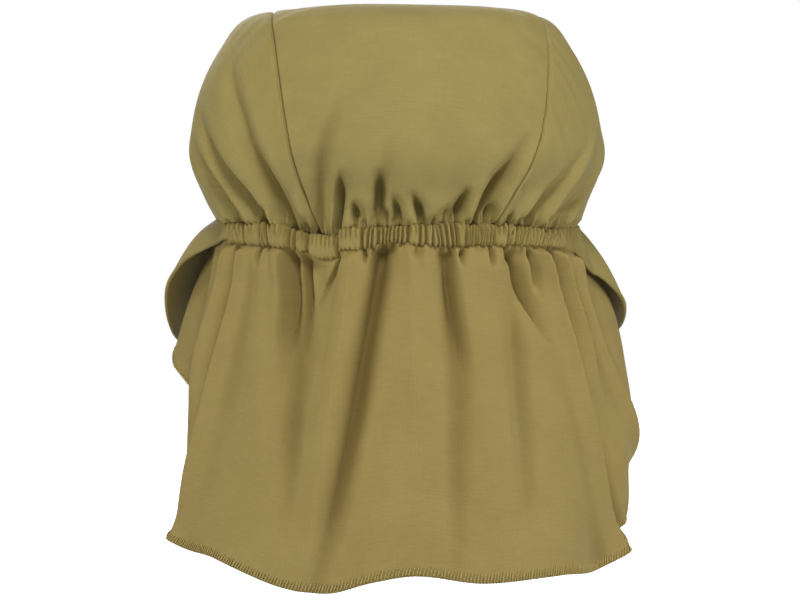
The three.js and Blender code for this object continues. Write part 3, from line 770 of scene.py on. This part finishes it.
def casing_outside(angle, along):
    """Points of the casing's outer face, along from its upper to its lower edge."""
    body = casing_body(along)
    puff = pleat_puff(angle, 1 - along)
    fine = RUFFLE_DEPTH * (ruffles(angle + RUFFLE_SHIFT) - 0.5) * (1 - smooth(along, *RUFFLE_ON_CASING))
    out = CLOTH / 2 + body * CASING_BODY + puff * mix(PLEAT_AT_EDGE, 1, body) + fine
    edge = (2 * along - 1) * (PLEAT_FRILL * puff + RUFFLE_FRILL * ruffles(angle))
    return on_head(angle, out + read(CASING_WAVE, "angle", "out", angle), casing_up(angle, along) - edge)


def casing_inside(angle, along):
    """Points of the casing's smooth inner face, along from its upper to its lower edge."""
    out = -CASING_LAYERS * CLOTH - casing_body(along) * CASING_BODY
    return on_head(angle, out + read(CASING_WAVE, "angle", "out", angle), casing_up(angle, along))


def nape_casing(material):
    """The gathered tunnel with the elastic in it, round the nape."""
    columns, rows = 950, 22
    angles = np.linspace(CASING_RIGHT_END, CASING_LEFT_END, columns)
    angle, along = np.meshgrid(angles, np.linspace(0, 1, rows))
    outer, inner = casing_outside(angle, along), casing_inside(angle, along)
    piece = cloth_wall("casing", outer, CLOTH, material, inner, PLEAT_HOLLOW)
    return place_piece(piece, "nape_casing")


# Peak


def peak_face(angle, along):
    """Points of the peak's upper face, along from its seam to its free edge."""
    out = read(PEAK_EDGE, "angle", "out", angle)
    down = read(PEAK_EDGE, "angle", "down", angle)
    reach = np.hypot(out, down)
    rise = PEAK_CROWNING * np.sin(np.pi * along) * np.clip(out / PEAK_FULL, 0, 1)
    rise += PEAK_ROLL * np.exp(-(((1 - along) * reach / PEAK_ROLL_WIDE) ** 2))
    soft = ripples(angle * DEGREE, along * reach, PEAK_RIPPLE_LONG, PEAK_RIPPLE_SEED)
    rise += PEAK_RIPPLE * soft * smooth(along, *PEAK_RIPPLE_FREE)
    from_end = np.minimum(angle - PEAK_EDGE["angle"][0], PEAK_EDGE["angle"][-1] - angle)
    lap = PEAK_LAP * smooth(from_end, *PEAK_LAP_RISE) * (1 - smooth(from_end, *PEAK_LAP_FALL))
    return on_head(
        angle,
        CLOTH / 2 + lap + out * along**PEAK_SPREAD + rise * down / reach,
        rim_up(angle) - down * along + rise * out / reach,
    )


def peak(material):
    """The soft brim round the face, with closer rows near its free edge."""
    columns, rows, pull = 260, 44, 1.4
    ends = PEAK_EDGE["angle"][[0, -1]]
    angle, along = np.meshgrid(np.linspace(*ends, columns), 1 - (1 - np.linspace(0, 1, rows)) ** pull)
    piece = cloth_wall("peak_brim", peak_face(angle, along), PEAK_THICKNESS, material)
    return place_piece(piece, "peak")


# Flap


def flap_fold(angle, drop):
    """How far the folds move the flap out, at an angle and a share of the drop."""
    hung = smooth(drop, 0, FLAP_FREE)
    moved = np.zeros(drop.shape)
    for fold in rows_of(FLAP_FOLDS):
        fade = 1 - smooth(drop, FLAP_FADE * fold["ends"], fold["ends"])
        turned = angle - mix(fold["top"], fold["hem"], drop)
        turned = turned / mix(FLAP_PINCH, 1, smooth(drop, 0, FLAP_WIDE))
        moved += fold["depth"] * hung * fade * ridge(turned, fold["left"], fold["right"], fold["sharp"])
    kick = np.clip((drop - FLICK_START) / (1 - FLICK_START), 0, FLICK_LIMIT) ** 2
    for flick in rows_of(HEM_FLICKS):
        turned = angle - flick["angle"]
        moved += flick["out"] * kick * ridge(turned, flick["left"], flick["right"], FLICK_SHARP)
    return moved


def flap_face(grain, along, proud=0.0):
    """Points of the flap's outer face, along from its top to its hem, for a thread's angle at the casing."""
    angle = grain + FLAP_FAN * along * np.sin(np.pi * grain / FLAP_END)
    left, right = CASING_LEFT_END + FLAP_RISE_FROM, FLAP_RISE_FROM - CASING_RIGHT_END
    past = smooth(grain, left, left + FLAP_RISE) + smooth(-grain, right, right + FLAP_RISE)
    top = rim_up(grain) + mix(-CASING_HEIGHT - read(CASING_WAVE, "angle", "low", grain), 0, past) - GAP
    low = read(FLAP_SECTIONS, "angle", "low", angle)
    half = read(FLAP_SECTIONS, "angle", "half", angle)
    hem = read(FLAP_SECTIONS, "angle", "hem", angle)
    flare = 4 * half * along * (1 - along) + hem * along * (2 * along - 1)
    distance = along * (top - low)
    out = CLOTH / 2 - FLAP_INSET * past + flare + flap_fold(angle, along) + proud
    swell = FLAP_PUFF * smooth(distance, *FLAP_PUFF_RISE) * (1 - smooth(distance, *FLAP_PUFF_FALL))
    pulled = FLAP_GATHER * small_gathers(angle, distance, FLAP_GATHER_SEED)
    waved = read(CASING_WAVE, "angle", "out", angle) * (1 - smooth(distance, *FLAP_WAVE_FALL))
    out = out + (1 - past) * (swell - pulled + waved)
    soft = ripples(angle * DEGREE, distance, FLAP_RIPPLE_LONG, FLAP_RIPPLE_SEED)
    out = out + FLAP_RIPPLE * smooth(distance, *FLAP_RIPPLE_FREE) * soft
    return on_head(angle, out, mix(top, low, along))


def flap_grain(columns):
    """The flap's columns: a ninth of them on each side, and the rest, closer together, under the casing."""
    sides = columns // 9
    return np.concatenate([
        np.linspace(-FLAP_END, CASING_RIGHT_END, sides, endpoint=False),
        np.linspace(CASING_RIGHT_END, CASING_LEFT_END, columns - 2 * sides, endpoint=False),
        np.linspace(CASING_LEFT_END, FLAP_END, sides),
    ])


def neck_flap(material):
    """The gathered cloth over neck and ears, with closer rows near the casing."""
    columns, rows, pull = 410, 112, 1.35
    grain, along = np.meshgrid(flap_grain(columns), np.linspace(0, 1, rows) ** pull)
    piece = cloth_wall("flap", flap_face(grain, along), CLOTH, material)
    return place_piece(piece, "neck_flap")


def hem_point(grain, inset, proud):
    """A point of the flap at a distance in from its hem, a little proud of the cloth."""
    drop = rim_up(grain) - CASING_HEIGHT - read(FLAP_SECTIONS, "angle", "low", grain)
    return flap_face(grain, 1 - inset / np.maximum(drop, HEM_LEAST_DROP), proud)


def hem_stitches(material):
    """The overlock stitches: one thread slants over the edge and round it, the other slants back."""
    edge_steps, stitch_steps = 3000, 12
    rng = np.random.default_rng(STITCH_SEED)
    grain = np.linspace(HEM_SHORT - FLAP_END, FLAP_END - HEM_SHORT, edge_steps)
    edge = hem_point(grain, 0, 0)
    run = np.concatenate([[0], np.cumsum(np.linalg.norm(np.diff(edge, axis=0), axis=1))])
    count = int(run[-1] / STITCH_PITCH)
    start = (np.arange(count) + 0.5) * STITCH_PITCH + rng.uniform(-0.5, 0.5, count) * STITCH_STRAY
    start = start[:, None]
    wide = HEM_BAND + rng.uniform(-1, 1, (count, 1)) * STITCH_STRAY
    t = np.linspace(0, 1, stitch_steps)[None, :]
    every = np.ones_like(start)
    inset = np.interp(t, STITCH_INSET["share"], STITCH_INSET["inset"])
    proud = np.interp(t, STITCH_PROUD["share"], STITCH_PROUD["proud"])
    looped = np.interp(start + STITCH_SLANT * np.minimum(t / STITCH_EDGE, 1), run, grain)
    over = hem_point(looped, wide * inset, proud * every)
    back = np.interp(start + STITCH_SLANT * (1 - BACK_SLANT * t), run, grain)
    crossed = hem_point(back, wide * mix(*BACK_SPAN, t), BACK_PROUD + BACK_ARCH * np.sin(np.pi * t) * every)
    piece = thread_mesh("hem_stitches", np.concatenate([over, crossed]), THREAD, material)
    return place_piece(piece, None)


# Materials


def feed(tree, socket, value):
    """Sets a socket to a value, or links it to another node's socket."""
    if isinstance(value, bpy.types.NodeSocket):
        tree.links.new(value, socket)
    else:
        socket.default_value = value


def node(tree, kind, **inputs):
    """A shader node with its inputs set or linked, by name, or by number after an underscore."""
    made = tree.nodes.new("ShaderNode" + kind)
    for key, value in inputs.items():
        name = int(key[1:]) if key[0] == "_" else key.replace("_", " ")
        feed(tree, made.inputs[name], value)
    return made


def math_node(tree, operation, first, second=0.0):
    """One operation on numbers or sockets."""
    made = node(tree, "Math", _0=first, _1=second)
    made.operation = operation
    return made.outputs[0]


def noise_node(tree, place, stretch, scale, detail=2.0):
    """Soft noise on the cloth's flat lengths, stretched along its rows and columns."""
    scaled = node(tree, "VectorMath", _0=place, _1=(*stretch, 1))
    scaled.operation = "MULTIPLY"
    return node(tree, "TexNoise", Vector=scaled.outputs[0], Scale=scale, Detail=detail).outputs["Fac"]


def weave_height(tree, place):
    """Threads over and under each other by turns, as high as 1 and as low as -1."""
    parts = node(tree, "SeparateXYZ", Vector=place)
    warp = math_node(tree, "SINE", math_node(tree, "MULTIPLY", parts.outputs[0], math.pi / WEAVE_PITCH))
    weft = math_node(tree, "SINE", math_node(tree, "MULTIPLY", parts.outputs[1], math.pi / WEAVE_PITCH))
    return math_node(tree, "MULTIPLY", warp, weft)


def mix_colours(tree, share, first, second):
    """A colour between two others, each a colour or another node's socket."""
    made = node(tree, "Mix", Factor=share)
    made.data_type = "RGBA"
    first_socket, second_socket, result = 6, 7, 2
    feed(tree, made.inputs[first_socket], first)
    feed(tree, made.inputs[second_socket], second)
    return made.outputs[result]


def opaque(colour, share=1):
    """A colour, or a share of it, as a socket takes it."""
    return (*(share * part for part in colour), 1)


def new_material(name, finish):
    """A material with its finish set on a plain shader: the material, its nodes and the shader."""
    made = bpy.data.materials.new(name)
    made.use_nodes = True
    shader = made.node_tree.nodes["Principled BSDF"]
    for socket, value in finish.items():
        shader.inputs[socket].default_value = value
    return made, made.node_tree, shader


def cloth_slubs(tree, place):
    """Uneven threads: streaks along the weft, and weaker ones along the warp."""
    weft = noise_node(tree, place, (SLUB_LONG, SLUB_FINE), 1.0)
    warp = noise_node(tree, place, (SLUB_FINE, SLUB_LONG), 1.0)
    return math_node(tree, "ADD", weft, math_node(tree, "MULTIPLY", warp, WARP_SLUBS))


def cloth_material(name, dark, light):
    """Plain-woven cloth: a fine weave, uneven threads, a little mottling, painted shade in deep folds and a
    faint sheen.
    """
    made, tree, shader = new_material(name, CLOTH_FINISH)
    place = node(tree, "UVMap").outputs[0]
    weave = weave_height(tree, place)
    slubs = cloth_slubs(tree, place)
    mottle = noise_node(tree, place, (1, 1), MOTTLE_SCALE, 4.0)
    tone = math_node(tree, "ADD", slubs, mottle)
    tone = math_node(tree, "ADD", tone, math_node(tree, "MULTIPLY", weave, WEAVE_TONE))
    shade = node(tree, "MapRange", Value=tone, From_Min=TONE_RANGE[0], From_Max=TONE_RANGE[1])
    colour = mix_colours(tree, shade.outputs[0], opaque(dark), opaque(light))
    # Painted shade: the base colour goes towards a deep brown, the dark tone squared, by how deep the cloth
    # lies in a hollow
    hollow = node(tree, "Attribute")
    hollow.attribute_name = "hollow"
    depth = math_node(tree, "MULTIPLY", hollow.outputs["Fac"], HOLLOW_SHADE)
    painted_fold_shade = [part * part for part in dark]
    feed(tree, shader.inputs["Base Color"], mix_colours(tree, depth, colour, opaque(painted_fold_shade)))
    relief = math_node(tree, "ADD", math_node(tree, "MULTIPLY", weave, WEAVE_RELIEF), slubs)
    bump = node(tree, "Bump", Strength=RELIEF_STRENGTH, Distance=RELIEF_METRES, Height=relief)
    feed(tree, shader.inputs["Normal"], bump.outputs[0])
    return made


def thread_material(name, colour):
    """Matt spun thread with a fine uneven tone."""
    made, tree, shader = new_material(name, THREAD_FINISH)
    place = node(tree, "TexCoord").outputs["Object"]
    tone = node(tree, "TexNoise", Vector=place, Scale=THREAD_GRAIN, Detail=2.0).outputs["Fac"]
    dark, light = (opaque(colour, share) for share in THREAD_TONES)
    feed(tree, shader.inputs["Base Color"], mix_colours(tree, tone, dark, light))
    return made


# Scene


def add_camera():
    """The photograph's camera: behind the cap, a little above level."""
    lens = bpy.data.cameras.new("camera")
    lens.sensor_width = SENSOR
    lens.lens = CAMERA_DISTANCE / MM_PER_PIXEL / IMAGE_WIDTH * SENSOR
    camera = bpy.data.objects.new("camera", lens)
    rise = math.radians(CAMERA_RISE)
    back = Vector((0, math.cos(rise), math.sin(rise)))
    camera.location = (Vector(TARGET) + back * CAMERA_DISTANCE) * MM
    camera.rotation_euler = (-back).to_track_quat("-Z", "Y").to_euler()
    bpy.context.scene.collection.objects.link(camera)
    bpy.context.scene.camera = camera


def add_light(name, place, size, power):
    """A soft square light at a place in metres, turned to the cap."""
    lamp = bpy.data.lights.new(name, "AREA")
    lamp.size = size
    lamp.energy = power
    light = bpy.data.objects.new(name, lamp)
    light.location = place
    light.rotation_euler = (-Vector(place)).to_track_quat("-Z", "Y").to_euler()
    bpy.context.scene.collection.objects.link(light)


def add_world():
    """White surroundings that hardly light the cap."""
    world = bpy.data.worlds.new("studio")
    bpy.context.scene.world = world
    world.use_nodes = True
    tree = world.node_tree
    tree.nodes.clear()
    seen = node(tree, "Background", Color=(1, 1, 1, 1), Strength=BACKDROP)
    lighting = node(tree, "Background", Color=(1, 1, 1, 1), Strength=SURROUNDING_LIGHT)
    straight = node(tree, "LightPath").outputs["Is Camera Ray"]
    mixed = node(tree, "MixShader", _0=straight, _1=lighting.outputs[0], _2=seen.outputs[0])
    node(tree, "OutputWorld", Surface=mixed.outputs[0])


def add_floor():
    """The plain white floor."""
    material = new_material("floor", FLOOR_FINISH)[0]
    sides = [(-1, -1), (1, -1), (1, 1), (-1, 1)]
    corners = np.array([(x * FLOOR_REACH, y * FLOOR_REACH, FLOOR) for x, y in sides])
    floor = add_mesh("floor", corners, np.array([[0, 1, 2, 3]]), material)
    floor.visible_diffuse = False
    floor.visible_shadow = False


add_camera()
add_world()
add_floor()
for light in LIGHTS:
    add_light(*light)
bpy.context.scene.view_settings.view_transform = "Standard"

cloth = cloth_material("cloth", *CROWN_COLOURS)
flap_cloth = cloth_material("flap_cloth", *FLAP_COLOURS)
gathered = cloth_material("gathered_cloth", *CASING_COLOURS)
thread = thread_material("hem_thread", THREAD_COLOUR)
centre = crown_centre_panel(cloth)
left_side = crown_side_panel("crown_left", "crown_side_left", "left", 1, cloth)
right_side = crown_side_panel("crown_right", "crown_side_right", "right", -1, cloth)
casing = nape_casing(gathered)
brim = peak(cloth)
flap = neck_flap(flap_cloth)
hem = hem_stitches(thread)
